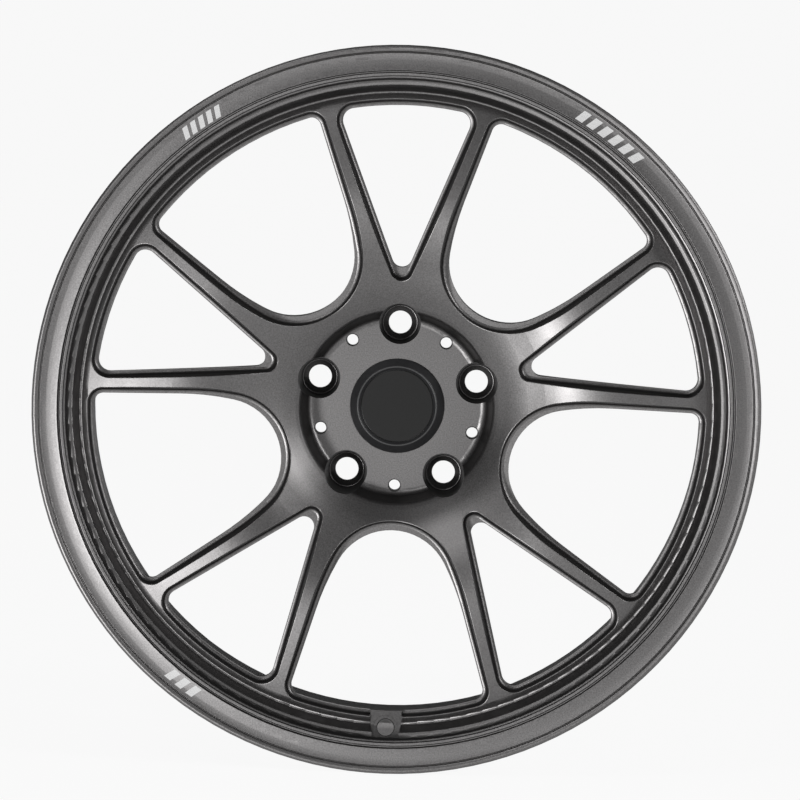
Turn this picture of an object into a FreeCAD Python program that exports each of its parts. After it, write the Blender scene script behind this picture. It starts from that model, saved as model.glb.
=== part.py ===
"""One-piece forged 18 x 9.5 racing wheel rim with a push-in centre cap, in millimetres.

The wheel is drawn with its axle line along Z and its street face up. Radii are measured from the axle line, and
depths are measured backwards from the street face of the front flange. The finished pieces are turned so that the
axle line lies along Y, the street face looks towards -Y and the valve hole is straight down. The origin is on the
axle line, halfway across the overall width.
"""

import FreeCAD, Part
import os
from math import acos, cos, hypot, radians, sin, sqrt, tan

from FreeCAD import Vector

# Rim contour
bead_seat_diameter = 462.0
rim_width = 241.3
flange_height = 17.5
flange_thickness = 12.35
wheel_offset = 25.0
well_depth = 17.3
well_wall = 3.8
barrel_wall = 4.4

# Hub
bolt_count = 5
bolt_circle_diameter = 114.3
hub_bore_diameter = 73.1
hub_bore_length = 24.0
hub_pad_depth = 73.0
pad_wall_height = 6.5
pad_fillet = 5.0
back_pad_rim = 16.85

# Lug holes
lug_bore_diameter = 16.0
lug_pocket_mouth = 28.8
lug_pocket_floor = 24.6
lug_seat_angle = 60.0
lug_web = 7.0
small_hole_diameter = 7.8
small_hole_inset = 2.05

# Lightening pockets in the back of the hub
back_pocket_width = 17.0
back_pocket_depth = 17.0
back_pocket_half_angle = 9.0

# Spokes: a crowned front face, and a back that follows it
bowl_wall_depth = 44.0
bowl_brow_radius = 79.0
bowl_brow_depth = 33.9
spoke_crown_radius = 127.2
spoke_crown_depth = 13.7
spoke_fall_radius = 183.0
spoke_fall_depth = 18.15
spoke_tip_depth = 24.0
spoke_tip_slope = 0.238
spoke_back_root = 90.0
spoke_back_tip = 45.0

# Windows between the spokes
small_half_angle = 21.7
small_apex_reach = 22.8
small_apex_radius = 6.9
small_corner_radius = 8.3
large_half_angle = 16.74
large_centre_reach = 63.6
large_bottom_radius = 41.3
large_side_gap = 2.85
large_shoulder_radius = 183.0
large_corner_radius = 6.5
window_rim_gap = 23.2
window_depth = 10.5
window_slope = 0.04
window_brim = 16.0
ledge_width = 2.9
mouth_width = 3.85
bottom_extra = 3.0
apex_ledge_radius = 7.3
apex_mouth_radius = 7.7
ledge_fillet = 2.6
mouth_edge_radius = 0.6

# Valve hole
valve_hole_diameter = 11.5
valve_seat_diameter = 17.0
valve_tilt = 12.0
valve_inset = 12.0
valve_floor_depth = 27.0
valve_web = 8.0
valve_boss_depth = 12.0
valve_flat_inner = 12.3
valve_flat_outer = 8.9

# Centre cap
cap_bore_diameter = 60.0
cap_flange_diameter = 65.5
cap_recess_diameter = 53.4
cap_height = 6.0
cap_recess_depth = 2.2
cap_skirt_length = 10.0
cap_skirt_clearance = 0.3
cap_wall = 3.6
cap_seat_gap = 0.02
o_ring_section = 2.4
o_ring_clearance = 0.02
emblem_diameter = 49.6
emblem_thickness = 0.8
adhesive_thickness = 0.3
adhesive_margin = 1.0

# Vinyl marks on the lip
decal_thickness = 0.1
decal_height = 8.0
decal_margin = 1.4
decal_slant = 20.0

# Worked out from the sizes above
seat_radius = bead_seat_diameter / 2
flange_radius = seat_radius + flange_height
overall_width = rim_width + 2 * flange_thickness
half_width = overall_width / 2
mount_depth = half_width - wheel_offset
lug_circle = bolt_circle_diameter / 2
hub_bore = hub_bore_diameter / 2
cap_bore = cap_bore_diameter / 2
pad_edge = lug_circle + 4.85
back_pad = lug_circle + back_pad_rim
well_radius = seat_radius - well_depth
well_inside = well_radius - well_wall
window_rim = seat_radius - window_rim_gap
lug_pitch = 360.0 / bolt_count
o_ring_depth = hub_pad_depth + 5.2
o_ring_land = 1.5
o_ring_floor = cap_bore - o_ring_clearance - 0.87 * o_ring_section
axle = Vector(0, 0, 1)
centre = Vector(0, 0, 0)


def height(depth):
    """Height along the axle line of a depth behind the street face."""
    return half_width - depth


def rounded_wire(points):
    """A closed wire through (radius, depth, corner radius) points in the section plane, with rounded corners."""
    spots = [Vector(r, 0, height(d)) for r, d, _ in points]
    rounds = [corner for _, _, corner in points]
    count = len(points)
    ends = []
    arcs = []
    for i in range(count):
        before = spots[i - 1] - spots[i]
        after = spots[(i + 1) % count] - spots[i]
        if rounds[i] == 0:
            ends.append((spots[i], spots[i]))
            arcs.append(None)
            continue
        before.normalize()
        after.normalize()
        half = acos(before.dot(after)) / 2
        cut_back = rounds[i] / tan(half)
        middle = (before + after).normalize()
        top = spots[i] + middle * (rounds[i] / sin(half) - rounds[i])
        first = spots[i] + before * cut_back
        last = spots[i] + after * cut_back
        ends.append((first, last))
        arcs.append(Part.Arc(first, top, last).toShape())
    edges = []
    for i in range(count):
        if arcs[i] is not None:
            edges.append(arcs[i])
        edges.append(Part.makeLine(ends[i][1], ends[(i + 1) % count][0]))
    return Part.Wire(edges)


def turned(points):
    """A solid of revolution about the axle line, with its seam on the +Y side."""
    face = Part.Face(rounded_wire(points))
    solid = face.revolve(centre, axle, 360)
    solid.rotate(centre, axle, 90)
    return solid


def around(shape, count, start=0.0):
    """Copies of a shape that is drawn on the +Y axis, spread evenly about the axle line."""
    copies = []
    for i in range(count):
        copy = shape.copy()
        copy.rotate(centre, axle, start + i * 360.0 / count)
        copies.append(copy)
    return copies


# ---------------------------------------------------------------------------------------------------------------
# The lip that shows from the street side: (radius, depth, corner radius)
lip_inner = seat_radius + 0.2
lip_outer = flange_radius - 5.6
LIP_FACE = [
    (lip_inner, 0.7, 0.35),
    (lip_inner + 4.0, 1.2, 50.0),
    (lip_outer - 2.3, 1.2, 24.0),
    (lip_outer, 0.85, 0.3),
]


def front_section():
    """From the cap's bore outwards to the top of the front flange."""
    shoulder_radius = window_rim + 5.7
    shoulder_depth = spoke_tip_depth + 5.7 * spoke_tip_slope
    hub = [
        (cap_bore, hub_pad_depth + 0.6, 0),
        (cap_bore + 0.6, hub_pad_depth, 0),
        (pad_edge, hub_pad_depth, pad_fillet),
        (pad_edge + 0.6, hub_pad_depth - pad_wall_height, 0.6),
        (pad_edge + 4.0, bowl_wall_depth, 5.0),
        (bowl_brow_radius, bowl_brow_depth, 90.0),
    ]
    spoke = [
        (spoke_crown_radius, spoke_crown_depth, 112.0),
        (spoke_fall_radius, spoke_fall_depth, 330.0),
        (shoulder_radius, shoulder_depth, 8.0),
        (shoulder_radius + 3.5, shoulder_depth + 3.1, 1.5),
    ]
    steps = [
        (seat_radius - 9.5, 15.0, 0.8),
        (seat_radius - 5.7, 14.4, 2.5),
        (seat_radius - 5.0, 5.2, 0.7),
        (seat_radius - 3.8, 4.9, 0.3),
        (seat_radius - 3.3, 3.3, 0.4),
        (seat_radius - 1.4, 3.2, 0.5),
        (seat_radius - 1.0, 4.2, 0.15),
        (seat_radius - 0.3, 4.2, 0.15),
    ]
    edge = [
        (lip_outer + 0.7, 1.8, 0.2),
        (lip_outer + 1.4, 0.55, 0.3),
        (lip_outer + 2.7, 0.0, 4.0),
        (flange_radius - 1.5, 0.0, 2.0),
        (flange_radius, 0.9, 0.8),
    ]
    return hub + spoke + steps + LIP_FACE + edge


def tyre_section():
    """Across the tyre side, from the front flange to the rear one."""
    flange = [
        (flange_radius, 8.0, 3.0),
        (seat_radius + 9.6, flange_thickness, 8.0),
        (seat_radius, flange_thickness, 5.0),
    ]
    hump = [
        (seat_radius - 1.8, flange_thickness + 19.6, 3.0),
        (seat_radius - 0.8, flange_thickness + 23.0, 3.0),
        (seat_radius - 2.6, flange_thickness + 26.5, 4.0),
    ]
    well = [
        (well_radius, 58.0, 9.0),
        (well_radius, 92.0, 14.0),
        (seat_radius - 5.4, 126.0, 25.0),
    ]
    rear = [(r, overall_width - d, corner) for r, d, corner in reversed(flange + hump)]
    return flange + hump + well + rear


def brake_section():
    """From the rear flange back along the inside of the barrel and the spokes to the mounting face."""
    barrel = [
        (flange_radius, overall_width, 2.5),
        (seat_radius - 1.8 - barrel_wall, overall_width, 3.0),
        (seat_radius - 1.8 - barrel_wall, overall_width - 34.0, 30.0),
        (seat_radius - 5.4 - well_wall, 127.5, 25.0),
        (well_inside, 92.5, 14.0),
    ]
    spoke = [
        (well_inside, spoke_back_tip, 7.0),
        (150.0, spoke_back_tip + 1.0, 200.0),
        (108.0, spoke_back_root - 33.0, 50.0),
        (back_pad + 5.0, spoke_back_root, 10.0),
    ]
    hub = [
        (back_pad, mount_depth, 1.5),
        (hub_bore + 1.0, mount_depth, 0),
        (hub_bore, mount_depth - 1.0, 0),
        (hub_bore, mount_depth - hub_bore_length, 1.0),
        (cap_bore, mount_depth - hub_bore_length, 0.5),
    ]
    return barrel + spoke + hub


# ---------------------------------------------------------------------------------------------------------------
# Windows, drawn on the +Y axis


def outer_corner(side, start, rim, corner):
    """The rounded corner between a straight side and the rim's arc, as first point, middle and last point."""
    along = Vector(sin(side), cos(side), 0)
    out = Vector(cos(side), -sin(side), 0)
    base = start - out * corner
    b = base.dot(along)
    c = base.dot(base) - (rim - corner) ** 2
    reach = -b + sqrt(b * b - c)
    middle = base + along * reach
    outward = Vector(middle).normalize()
    first = start + along * reach
    last = middle + outward * corner
    bulge = middle + (out + outward).normalize() * corner
    return first, bulge, last


def mirrored(point):
    return Vector(-point.x, point.y, point.z)


def window_wire(right_side, rim, z):
    """A closed outline from the curves of its right half, which run from the inner end to the rim's arc."""
    edges = []
    for points in right_side:
        edges.append([Vector(p.x, p.y, z) for p in points])
    last = edges[-1][-1]
    top = [last, Vector(0, rim, z), mirrored(last)]
    left = [[mirrored(p) for p in reversed(points)] for points in reversed(edges)]
    inner = edges[0]
    inner_arc = [mirrored(inner[-1]), inner[0], inner[-1]]
    shapes = []
    for points in [inner_arc] + edges[1:] + [top] + left[:-1]:
        if len(points) == 2:
            shapes.append(Part.makeLine(*points))
        else:
            shapes.append(Part.Arc(*points).toShape())
    return Part.Wire(shapes)


def small_window(grow, tip, z):
    """The narrow window inside a V of spokes: two straight sides that meet in a rounded point."""
    side = radians(small_half_angle)
    apex = Vector(0, pad_edge + small_apex_reach - grow / sin(side), 0)
    rim = window_rim + grow
    tip_end = apex + Vector(sin(side), cos(side), 0) * (tip / tan(side))
    tip_bottom = apex + Vector(0, tip / sin(side) - tip, 0)
    first, bulge, last = outer_corner(side, apex, rim, small_corner_radius + grow)
    return window_wire([[tip_bottom, tip_end], [tip_end, first], [first, bulge, last]], rim, z)


def large_window(grow, inner_extra, z):
    """The wide window between two Vs: a round bottom, a long shoulder arc and a straight side."""
    side = radians(large_half_angle)
    along = Vector(sin(side), cos(side), 0)
    out = Vector(cos(side), -sin(side), 0)
    bottom = large_bottom_radius + grow
    shoulder = large_shoulder_radius + grow
    hub_centre = Vector(0, pad_edge + large_centre_reach - inner_extra, 0)
    gap = large_bottom_radius + large_side_gap + grow - inner_extra * sin(side)
    rim = window_rim + grow
    sideways = shoulder - gap
    upwards = sqrt((shoulder - bottom) ** 2 - sideways ** 2)
    shoulder_centre = hub_centre - out * sideways + along * upwards
    away = (hub_centre - shoulder_centre).normalize()
    join = hub_centre + away * bottom
    straight = shoulder_centre + out * shoulder
    halfway = shoulder_centre + (away + out).normalize() * shoulder
    lowest = hub_centre - Vector(0, bottom, 0)
    first, bulge, last = outer_corner(side, straight, rim, large_corner_radius + grow)
    curves = [[lowest, join], [join, halfway, straight], [straight, first], [first, bulge, last]]
    return window_wire(curves, rim, z)


def sheared(shape):
    """Tilts a window's mouth and ledge to follow the fall of the spokes towards the hub."""
    matrix = FreeCAD.Matrix()
    matrix.A32 = window_slope
    matrix.A34 = -window_slope * window_rim
    return shape.transformGeometry(matrix)


def window_mouth(outline, ledge_shape, brim_shape):
    """The drafted mouth of a window, down to a filleted ledge."""
    ledge = height(spoke_tip_depth + window_depth)
    rise = window_depth + window_brim
    brim_grow = ledge_width + (mouth_width - ledge_width) * rise / window_depth
    floor = outline(ledge_width, ledge_shape, ledge)
    brim = outline(brim_grow, brim_shape, ledge + rise)
    mouth = Part.makeLoft([floor, brim], True, True)
    bottom = [e for e in mouth.Edges if all(abs(v.Z - ledge) < 1e-6 for v in e.Vertexes)]
    return sheared(mouth.makeFillet(ledge_fillet, bottom))


def window_opening(outline, shape):
    """The opening from the ledge through to the back."""
    back = Part.Face(outline(0.0, shape, height(mount_depth + 4.0)))
    return back.extrude(Vector(0, 0, mount_depth + 4.0))


def valve_frame(half_inner, half_outer, inner, outer, rise):
    """A prism over the valve flat: a trapezoid in the tilted floor plane, raised towards the street side."""
    points = [
        Vector(-half_inner, -inner, 0),
        Vector(half_inner, -inner, 0),
        Vector(half_outer, outer, 0),
        Vector(-half_outer, outer, 0),
    ]
    face = Part.Face(Part.makePolygon(points + points[:1]))
    return valve_placed(face.extrude(Vector(0, 0, rise)))


def valve_placed(shape):
    """Carries a shape from the valve's own axes, with Z along the valve, to the wheel."""
    shape = shape.copy()
    shape.rotate(centre, Vector(1, 0, 0), valve_tilt)
    shape.translate(Vector(0, seat_radius - valve_inset, height(valve_floor_depth)))
    shape.rotate(centre, axle, 180)
    return shape


def valve_boss():
    """The block that carries the valve flat across the groove and out to the window's edge."""
    boss = valve_frame(valve_flat_inner - 0.8, valve_flat_outer - 0.8, 16.0, 8.0, valve_boss_depth + 1.0)
    down = valve_placed(Part.makeLine(centre, Vector(0, 0, -valve_boss_depth)))
    boss.translate(down.Vertexes[1].Point - down.Vertexes[0].Point)
    return boss


def valve_cutters():
    """The milled flat, its spot face, the hole and the relief behind it."""
    bore = valve_hole_diameter / 2
    seat = valve_seat_diameter / 2
    flat = valve_frame(valve_flat_inner, valve_flat_outer, 14.0, 8.4, 40.0)
    spot = Part.makeCylinder(seat, 40.0, Vector(0, 0, -0.6))
    hole = Part.makeCylinder(bore, 80.0, Vector(0, 0, -40.0))
    entry = Part.makeCone(bore, bore + 1.0, 1.0, Vector(0, 0, -1.1))
    relief = Part.makeCylinder(seat - 0.5, 30.0, Vector(0, 0, -valve_web - 30.0))
    return [flat] + [valve_placed(s) for s in (spot, hole, entry, relief)]


# ---------------------------------------------------------------------------------------------------------------
# Hub


def lug_cutter():
    """A lug hole with its round pocket and its conical seat."""
    bore = lug_bore_diameter / 2
    mouth = lug_pocket_mouth / 2
    floor = lug_pocket_floor / 2
    seat_rim = floor - 0.6
    bore_depth = mount_depth - lug_web
    seat_depth = bore_depth - (seat_rim - bore) / tan(radians(lug_seat_angle / 2))
    profile = [
        (0, bowl_brow_depth - 4.0, 0),
        (mouth, bowl_brow_depth - 4.0, 0),
        (mouth, hub_pad_depth, 0),
        (floor, seat_depth, 0.8),
        (seat_rim, seat_depth, 0),
        (bore, bore_depth, 0),
        (bore, mount_depth - 0.8, 0),
        (bore + 0.8, mount_depth, 0),
        (bore + 0.8, mount_depth + 5.0, 0),
        (0, mount_depth + 5.0, 0),
    ]
    cutter = turned(profile)
    cutter.translate(Vector(0, lug_circle, 0))
    return cutter


def small_hole_cutter():
    """A plain hole with a broken edge, between two lug holes."""
    bore = small_hole_diameter / 2
    profile = [
        (0, hub_pad_depth - 8.0, 0),
        (bore + 0.6, hub_pad_depth - 8.0, 0),
        (bore + 0.6, hub_pad_depth, 0),
        (bore, hub_pad_depth + 0.6, 0),
        (bore, mount_depth + 5.0, 0),
        (0, mount_depth + 5.0, 0),
    ]
    cutter = turned(profile)
    cutter.translate(Vector(0, lug_circle - small_hole_inset, 0))
    return cutter


def back_pocket_cutter():
    """A curved slot in the mounting face, between two lug bosses."""
    half = back_pocket_width / 2
    sweep = radians(back_pocket_half_angle)
    z = height(mount_depth)

    def spot(radius, angle):
        return Vector(radius * sin(angle), radius * cos(angle), z)

    end = spot(lug_circle, sweep) + Vector(cos(sweep), -sin(sweep), 0) * half
    outer = [spot(lug_circle + half, -sweep), spot(lug_circle + half, 0), spot(lug_circle + half, sweep)]
    right = [outer[2], end, spot(lug_circle - half, sweep)]
    inner = [right[2], spot(lug_circle - half, 0), spot(lug_circle - half, -sweep)]
    left = [inner[2], mirrored(end), outer[0]]
    wire = Part.Wire([Part.Arc(*points).toShape() for points in (outer, right, inner, left)])
    slot = Part.Face(wire).extrude(Vector(0, 0, back_pocket_depth))
    floor = [e for e in slot.Edges if all(abs(v.Z - z - back_pocket_depth) < 1e-6 for v in e.Vertexes)]
    slot = slot.makeFillet(2.5, floor)
    mouth = Part.Face(wire).extrude(Vector(0, 0, -5.0))
    return slot.fuse(mouth)


# ---------------------------------------------------------------------------------------------------------------
# The forging


def mouth_edges(rim):
    """The edges where the walls of the windows meet the turned street face."""
    turned_kinds = {"Part::GeomCone", "Part::GeomToroid", "Part::GeomSurfaceOfRevolution"}
    deepest = bowl_wall_depth
    edges = []
    for edge in rim.Edges:
        kinds = {face.Surface.TypeId for face in rim.ancestorsOfType(edge, Part.Face)}
        middle = edge.valueAt(sum(edge.ParameterRange) / 2)
        radius = hypot(middle.x, middle.y)
        in_spokes = pad_edge + 11.0 < radius < window_rim + 7.0
        if in_spokes and half_width - middle.z < deepest and kinds & turned_kinds:
            if "Part::GeomBSplineSurface" in kinds:
                edges.append(edge)
    return edges


def forged_rim():
    """The whole forging: one turned section with the windows, the holes and the valve flat cut from it."""
    blank = turned(front_section() + tyre_section() + brake_section())
    half_pitch = lug_pitch / 2
    mouths = around(window_mouth(small_window, apex_ledge_radius, apex_mouth_radius), bolt_count)
    mouths += around(window_mouth(large_window, bottom_extra, bottom_extra), bolt_count, half_pitch)
    rim = blank.cut(mouths).fuse(valve_boss())
    cutters = around(window_opening(small_window, small_apex_radius), bolt_count)
    cutters += around(window_opening(large_window, 0.0), bolt_count, half_pitch)
    cutters += around(lug_cutter(), bolt_count)
    cutters += around(small_hole_cutter(), bolt_count, half_pitch)
    cutters += around(back_pocket_cutter(), bolt_count, half_pitch)
    cutters += valve_cutters()
    rim = rim.cut(cutters)
    return rim.makeFillet(mouth_edge_radius, mouth_edges(rim))


# ---------------------------------------------------------------------------------------------------------------
# Centre cap


def cap_body():
    """The cap's shell: a bevelled ring round a recess, and a skirt with a groove for the O-ring."""
    back = hub_pad_depth - cap_seat_gap
    flange = cap_flange_diameter / 2
    recess = cap_recess_diameter / 2
    skirt = cap_bore - cap_skirt_clearance
    crest = back - cap_height
    floor = crest + cap_recess_depth + emblem_thickness + adhesive_thickness
    pocket = emblem_diameter / 2 + 0.25
    profile = [
        (0, floor, 0),
        (pocket, floor, 0),
        (pocket, crest + cap_recess_depth - 0.3, 0.2),
        (recess, crest, 0.5),
        (recess + 0.9, crest, 0.6),
        (flange - 0.5, back - 1.6, 0.5),
        (flange, back, 0),
        (skirt, back, 0),
        (skirt, o_ring_depth - o_ring_land, 0),
        (o_ring_floor, o_ring_depth - o_ring_land, 0),
        (o_ring_floor, o_ring_depth + o_ring_land, 0),
        (skirt, o_ring_depth + o_ring_land, 0),
        (skirt, back + cap_skirt_length - 0.6, 0),
        (skirt - 0.6, back + cap_skirt_length, 0),
        (skirt - cap_wall, back + cap_skirt_length, 0),
        (skirt - cap_wall, floor + 2.6, 1.0),
        (0, floor + 2.6, 0),
    ]
    return turned(profile)


def cap_o_ring():
    """The O-ring in its squeezed, fitted state: flattened between the groove's floor and the hub's bore."""
    inside = o_ring_floor + o_ring_clearance
    outside = cap_bore - o_ring_clearance
    half = o_ring_section * 0.54
    corner = 0.4 * (outside - inside)
    profile = [
        (inside, o_ring_depth - half, corner),
        (outside, o_ring_depth - half, corner),
        (outside, o_ring_depth + half, corner),
        (inside, o_ring_depth + half, corner),
    ]
    return turned(profile)


def disc(diameter, thickness, front_depth, edge):
    """A flat disc on the axle line with a softened front edge."""
    radius = diameter / 2
    profile = [
        (0, front_depth, 0),
        (radius, front_depth, edge),
        (radius, front_depth + thickness, 0),
        (0, front_depth + thickness, 0),
    ]
    return turned(profile)


# ---------------------------------------------------------------------------------------------------------------
# Vinyl marks on the lip


def lip_skin():
    """A thin ring that lies on the face of the lip."""
    lift = [(r, d - decal_thickness, corner) for r, d, corner in LIP_FACE]
    body = [(LIP_FACE[-1][0], 3.0, 0), (LIP_FACE[0][0], 3.0, 0)]
    above = turned(lift + body)
    below = turned(LIP_FACE + body)
    return above.cut(below)


def lip_marks(skin, count, pitch, width, angle):
    """A row of slanted bars cut from the skin, centred at an angle from straight up."""
    inner = lip_inner + decal_margin
    lean = decal_height * tan(radians(decal_slant))
    points = [
        Vector(-width / 2 - lean / 2, inner, height(5.0)),
        Vector(width / 2 - lean / 2, inner, height(5.0)),
        Vector(width / 2 + lean / 2, inner + decal_height, height(5.0)),
        Vector(-width / 2 + lean / 2, inner + decal_height, height(5.0)),
    ]
    bar = Part.Face(Part.makePolygon(points + points[:1])).extrude(Vector(0, 0, 10.0))
    solids = []
    for i in range(count):
        piece = bar.copy()
        piece.rotate(centre, axle, angle + (i - (count - 1) / 2) * pitch)
        solids += skin.common(piece).Solids
    return Part.makeCompound(solids)


# ---------------------------------------------------------------------------------------------------------------


def export(shape, name):
    """Turns a piece so that the street face looks towards -Y and writes it."""
    shape = shape.copy()
    shape.rotate(centre, Vector(1, 0, 0), 90)
    shape.exportStep(os.path.join("parts", name + ".step"))
    print(name, len(shape.Solids), round(shape.Volume, 1), shape.isValid())


def main():
    os.makedirs("parts", exist_ok=True)
    plate_depth = hub_pad_depth - cap_seat_gap - cap_height + cap_recess_depth
    glue_depth = plate_depth + emblem_thickness
    skin = lip_skin()
    export(forged_rim(), "forged_rim")
    export(cap_body(), "cap_body")
    export(cap_o_ring(), "cap_o_ring")
    export(disc(emblem_diameter, emblem_thickness, plate_depth, 0.3), "cap_emblem_plate")
    export(disc(emblem_diameter - 2 * adhesive_margin, adhesive_thickness, glue_depth, 0), "cap_emblem_adhesive")
    export(lip_marks(skin, 5, 1.55, 3.9, lug_pitch / 2), "lip_decal_upper_left")
    export(lip_marks(skin, 6, 2.2, 5.6, -lug_pitch / 2), "lip_decal_upper_right")
    export(lip_marks(skin, 3, 2.2, 5.2, 2 * lug_pitch), "lip_decal_lower_left")


main()
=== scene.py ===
"""Looks for a forged wheel rim: satin gunmetal paint, a matte black cap, plain vinyl marks, a pale studio.

Lengths are in metres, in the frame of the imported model: the axle line lies along Y, the street face looks
towards -Y and +Z is up.
"""

from math import pi, radians, tan

import bpy
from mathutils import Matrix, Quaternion, Vector


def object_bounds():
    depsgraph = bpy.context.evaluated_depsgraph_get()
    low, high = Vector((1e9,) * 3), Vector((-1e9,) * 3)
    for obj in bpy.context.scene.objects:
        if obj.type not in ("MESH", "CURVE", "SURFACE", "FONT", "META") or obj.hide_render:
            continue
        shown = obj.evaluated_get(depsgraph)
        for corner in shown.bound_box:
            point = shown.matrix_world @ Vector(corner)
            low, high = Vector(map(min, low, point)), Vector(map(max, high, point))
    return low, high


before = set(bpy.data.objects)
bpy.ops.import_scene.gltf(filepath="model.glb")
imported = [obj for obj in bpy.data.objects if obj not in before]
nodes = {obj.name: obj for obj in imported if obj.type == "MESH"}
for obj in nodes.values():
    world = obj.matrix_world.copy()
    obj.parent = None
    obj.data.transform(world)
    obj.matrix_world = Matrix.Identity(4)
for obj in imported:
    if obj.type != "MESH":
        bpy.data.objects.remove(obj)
cad_low, cad_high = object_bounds()
MM = 0.001

# Camera: the lens is in millimetres, and the rise, the step to the right and the roll are in degrees
LENS = 284.6
CAMERA_DISTANCE = 4.3
CAMERA_RISE = 2.5
CAMERA_RIGHT = 0.4
CAMERA_ROLL = 2.0
CAMERA_REACH = 200.0
AIM = Vector((2.3 * MM, cad_low.y, 7.1 * MM))

# Studio: the lamps stand at one distance. Each has a direction from the wheel, a width and an irradiance
# at the wheel. The key lamp stands lower than the floor, so the stage is left out of what blocks a lamp.
LAMP_DISTANCE = 4.0
LAMPS = {
    "key_left": ((-0.415, -0.892, -0.182), 0.6, 2.2),
    "fill_right": ((0.722, -0.589, 0.360), 1.1, 1.15),
    "top_left": ((-0.294, -0.744, 0.599), 1.1, 0.5),
}
WHITE = (1.0, 1.0, 1.0, 1.0)
WORLD_GREY = 0.13
STAGE_RADIUS = 30.0
STAGE_HEIGHT = 2.6
STAGE_SIDES = 128
STAGE_COLOUR = (0.8, 0.8, 0.8, 1.0)
STAGE_GLOW = 0.93

# Noise: a scale is in features per metre, and a range is the stretch of its values that is spread out
GRAIN_DETAIL = 2.0
GRAIN_BREAKUP = 0.6
NOISE_RANGE = (0.3, 0.7)

# Gunmetal paint
PAINT_METALLIC = 0.95
PAINT_DARK = (0.101, 0.098, 0.098)
PAINT_LIGHT = (0.162, 0.158, 0.158)
PAINT_EDGE_TINT = (0.3, 0.3, 0.3, 1.0)
PAINT_ROUGHNESS = (0.365, 0.405)
FLAKE_SCALE = 1100.0
FLAKE_DEPTH = 0.012 * MM
CLOUD_SCALE = 14.0
CLOUD_DETAIL = 3.0
CLOUD_SHARE = 0.15
CLOUDED_RANGE = (0.32, 0.68)
PEEL_SCALE = 260.0
PEEL_DETAIL = 1.0
PEEL_DEPTH = 0.006 * MM

# Black cap plastic
CAP_DARK = (0.010, 0.010, 0.011)
CAP_LIGHT = (0.019, 0.019, 0.020)
CAP_ROUGHNESS = (0.36, 0.50)
CAP_GRAIN_SCALE = 1500.0
CAP_GRAIN_DEPTH = 0.02 * MM

# Other finishes: how far the roughness strays to each side of its middle
ROUGHNESS_STRAY = 0.06


# ----------------------------------------------------------------------------------------------------
# Node helpers


def add_node(tree, kind, **settings):
    """A new node with its properties set by name, and its inputs set through a dict called inputs."""
    inputs = settings.pop("inputs", {})
    node = tree.nodes.new(kind)
    for key, value in settings.items():
        setattr(node, key, value)
    for key, value in inputs.items():
        node.inputs[key].default_value = value
    return node


def new_material(name, **values):
    """A material with a Principled shader whose sockets are set by name."""
    material = bpy.data.materials.new(name)
    material.use_nodes = True
    shader = material.node_tree.nodes["Principled BSDF"]
    for key, value in values.items():
        shader.inputs[key.replace("_", " ")].default_value = value
    return material, material.node_tree, shader


def place_input(tree):
    """The point on the object, in metres."""
    return add_node(tree, "ShaderNodeTexCoord").outputs["Object"]


def noise(tree, where, scale, detail, rough=0.5):
    """Plain noise whose features are about 1 / scale metres wide."""
    inputs = {"Scale": scale, "Detail": detail, "Roughness": rough}
    node = add_node(tree, "ShaderNodeTexNoise", inputs=inputs)
    tree.links.new(where, node.inputs["Vector"])
    return node.outputs["Fac"]


def grain_noise(tree, where, scale):
    """The sharper noise that flake and grain are made of."""
    return noise(tree, where, scale, GRAIN_DETAIL, GRAIN_BREAKUP)


def spread(tree, value, low, high, noise_range=NOISE_RANGE):
    """Maps a noise value to the range from low to high, and holds it there."""
    inputs = {"From Min": noise_range[0], "From Max": noise_range[1], "To Min": low, "To Max": high}
    node = add_node(tree, "ShaderNodeMapRange", inputs=inputs)
    tree.links.new(value, node.inputs["Value"])
    return node.outputs["Result"]


def tint(tree, value, dark, light):
    """A colour between two others, chosen by a value from 0 to 1."""
    node = add_node(tree, "ShaderNodeMix", data_type="RGBA")
    node.inputs["A"].default_value = (*dark, 1.0)
    node.inputs["B"].default_value = (*light, 1.0)
    tree.links.new(value, node.inputs["Factor"])
    return node.outputs["Result"]


def bump(tree, shader, value, depth, under=None):
    """Bump of a real depth in metres, over another bump if one is given."""
    node = add_node(tree, "ShaderNodeBump", inputs={"Strength": 1.0, "Distance": depth})
    tree.links.new(value, node.inputs["Height"])
    if under is not None:
        tree.links.new(under, node.inputs["Normal"])
    tree.links.new(node.outputs["Normal"], shader.inputs["Normal"])
    return node.outputs["Normal"]


# ----------------------------------------------------------------------------------------------------
# Finishes


def gunmetal_paint():
    """Satin metallic paint that is darker at a glancing angle, with flake, orange peel and slow clouds."""
    material, tree, shader = new_material(
        "gunmetal_paint", Metallic=PAINT_METALLIC, Specular_Tint=PAINT_EDGE_TINT
    )
    where = place_input(tree)
    flake = grain_noise(tree, where, FLAKE_SCALE)
    cloud = noise(tree, where, CLOUD_SCALE, CLOUD_DETAIL)
    clouded = add_node(tree, "ShaderNodeMix", data_type="FLOAT", inputs={"Factor": CLOUD_SHARE})
    tree.links.new(flake, clouded.inputs["A"])
    tree.links.new(cloud, clouded.inputs["B"])
    share = spread(tree, clouded.outputs["Result"], 0.0, 1.0, CLOUDED_RANGE)
    tree.links.new(tint(tree, share, PAINT_DARK, PAINT_LIGHT), shader.inputs["Base Color"])
    tree.links.new(spread(tree, flake, *PAINT_ROUGHNESS), shader.inputs["Roughness"])
    peel = bump(tree, shader, noise(tree, where, PEEL_SCALE, PEEL_DETAIL), PEEL_DEPTH)
    bump(tree, shader, flake, FLAKE_DEPTH, under=peel)
    return material


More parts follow.
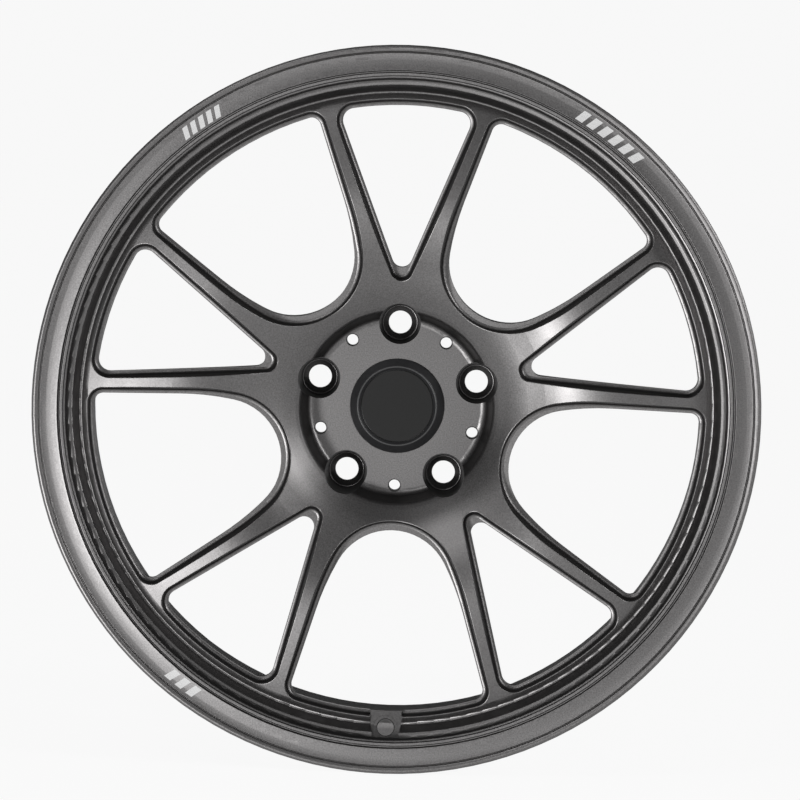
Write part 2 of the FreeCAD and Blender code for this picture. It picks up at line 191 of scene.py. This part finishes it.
def add_grain(tree, shader, dark, light, roughness, scale, depth):
    """Varies a shader's colour, roughness and bump with one fine grain."""
    grain = grain_noise(tree, place_input(tree), scale)
    colour = tint(tree, spread(tree, grain, 0.0, 1.0), dark, light)
    tree.links.new(colour, shader.inputs["Base Color"])
    tree.links.new(spread(tree, grain, *roughness), shader.inputs["Roughness"])
    bump(tree, shader, grain, depth)


def cap_plastic():
    """Fine-grained matte black plastic."""
    material, tree, shader = new_material("cap_plastic")
    add_grain(tree, shader, CAP_DARK, CAP_LIGHT, CAP_ROUGHNESS, CAP_GRAIN_SCALE, CAP_GRAIN_DEPTH)
    return material


def plain_finish(name, dark, light, rough, scale, depth, gloss=0.5):
    """A finish that varies a little, with its roughness spread evenly about one value."""
    material, tree, shader = new_material(name, Specular_IOR_Level=gloss)
    roughness = (rough - ROUGHNESS_STRAY, rough + ROUGHNESS_STRAY)
    add_grain(tree, shader, dark, light, roughness, scale, depth)
    return material


def grey(level):
    """A neutral colour."""
    return (level, level, level)


def wear(node, material):
    """Gives a CAD node one finish."""
    slots = nodes[node].data.materials
    slots.clear()
    slots.append(material)


rubber = plain_finish(
    "cap_rubber", dark=grey(0.012), light=grey(0.022), rough=0.6, scale=1800.0, depth=0.01 * MM
)
emblem = plain_finish(
    "emblem_black",
    dark=grey(0.008),
    light=grey(0.013),
    rough=0.32,
    scale=2600.0,
    depth=0.004 * MM,
    gloss=0.2,
)
foam = plain_finish(
    "adhesive_foam",
    dark=(0.5, 0.48, 0.43),
    light=(0.6, 0.58, 0.53),
    rough=0.8,
    scale=900.0,
    depth=0.03 * MM,
)
vinyl = plain_finish(
    "decal_vinyl", dark=grey(0.46), light=grey(0.56), rough=0.45, scale=1500.0, depth=0.006 * MM
)
wear("forged_rim", gunmetal_paint())
wear("cap_body", cap_plastic())
wear("cap_o_ring", rubber)
wear("cap_emblem_plate", emblem)
wear("cap_emblem_adhesive", foam)
for side in ("upper_left", "upper_right", "lower_left"):
    wear("lip_decal_" + side, vinyl)


# ----------------------------------------------------------------------------------------------------
# Studio


def seen_directly(tree):
    """One for a camera, glossy or transmission ray, and zero for any other."""
    path = add_node(tree, "ShaderNodeLightPath")
    total = path.outputs["Is Camera Ray"]
    for name in ("Is Glossy Ray", "Is Transmission Ray"):
        both = add_node(tree, "ShaderNodeMath", operation="MAXIMUM")
        tree.links.new(total, both.inputs[0])
        tree.links.new(path.outputs[name], both.inputs[1])
        total = both.outputs[0]
    return total


def grey_world():
    """A plain soft grey all round."""
    world = bpy.data.worlds.new("studio")
    bpy.context.scene.world = world
    world.use_nodes = True
    background = world.node_tree.nodes["Background"]
    background.inputs["Color"].default_value = WHITE
    background.inputs["Strength"].default_value = WORLD_GREY


def stage_white():
    """Pale card that glows nearly white where it is seen. A shadow on it is too faint to see."""
    material, tree, shader = new_material(
        "stage_white", Base_Color=STAGE_COLOUR, Roughness=0.9, Specular_IOR_Level=0.0
    )
    glow = add_node(tree, "ShaderNodeEmission", inputs={"Color": WHITE, "Strength": 1.0})
    blend = add_node(tree, "ShaderNodeMixShader")
    share = add_node(tree, "ShaderNodeMath", operation="MULTIPLY")
    share.inputs[1].default_value = STAGE_GLOW
    tree.links.new(seen_directly(tree), share.inputs[0])
    tree.links.new(share.outputs[0], blend.inputs["Fac"])
    tree.links.new(shader.outputs["BSDF"], blend.inputs[1])
    tree.links.new(glow.outputs["Emission"], blend.inputs[2])
    tree.links.new(blend.outputs["Shader"], tree.nodes["Material Output"].inputs["Surface"])
    return material


def white_stage():
    """A round floor under the wheel with a low wall round it."""
    material = stage_white()
    bpy.ops.mesh.primitive_circle_add(
        vertices=STAGE_SIDES, radius=STAGE_RADIUS, fill_type="NGON", location=(0.0, 0.0, cad_low.z)
    )
    floor = bpy.context.object
    bpy.ops.mesh.primitive_cylinder_add(
        vertices=STAGE_SIDES,
        radius=STAGE_RADIUS,
        depth=STAGE_HEIGHT,
        end_fill_type="NOTHING",
        location=(0.0, 0.0, cad_low.z + STAGE_HEIGHT / 2),
    )
    wall = bpy.context.object
    for name, piece in (("floor", floor), ("backdrop", wall)):
        piece.name = name
        piece.data.materials.append(material)


def studio_lamps():
    """Soft square lamps that look at the wheel, and whose light only the CAD nodes can block."""
    blockers = bpy.data.collections.new("lamp_blockers")
    for name in nodes:
        blockers.objects.link(nodes[name])
    for name, (direction, width, irradiance) in LAMPS.items():
        data = bpy.data.lights.new(name, "AREA")
        data.shape = "SQUARE"
        data.size = width
        data.energy = irradiance * pi * LAMP_DISTANCE ** 2
        lamp = bpy.data.objects.new(name, data)
        bpy.context.scene.collection.objects.link(lamp)
        lamp.location = Vector(direction).normalized() * LAMP_DISTANCE
        lamp.rotation_euler = lamp.location.to_track_quat("Z", "Y").to_euler()
        lamp.light_linking.blocker_collection = blockers


def photo_camera():
    """A long lens nearly square to the street face, a little above the axle line and right of it."""
    data = bpy.data.cameras.new("camera")
    data.lens = LENS
    data.clip_end = CAMERA_REACH
    camera = bpy.data.objects.new("camera", data)
    bpy.context.scene.collection.objects.link(camera)
    sideways = CAMERA_DISTANCE * tan(radians(CAMERA_RIGHT))
    upwards = CAMERA_DISTANCE * tan(radians(CAMERA_RISE))
    camera.location = Vector((sideways, cad_low.y - CAMERA_DISTANCE, upwards))
    aim = (AIM - camera.location).to_track_quat("-Z", "Y")
    camera.rotation_mode = "QUATERNION"
    camera.rotation_quaternion = aim @ Quaternion((0.0, 0.0, 1.0), radians(CAMERA_ROLL))
    bpy.context.scene.camera = camera


grey_world()
white_stage()
studio_lamps()
photo_camera()
bpy.context.scene.view_settings.view_transform = "Standard"
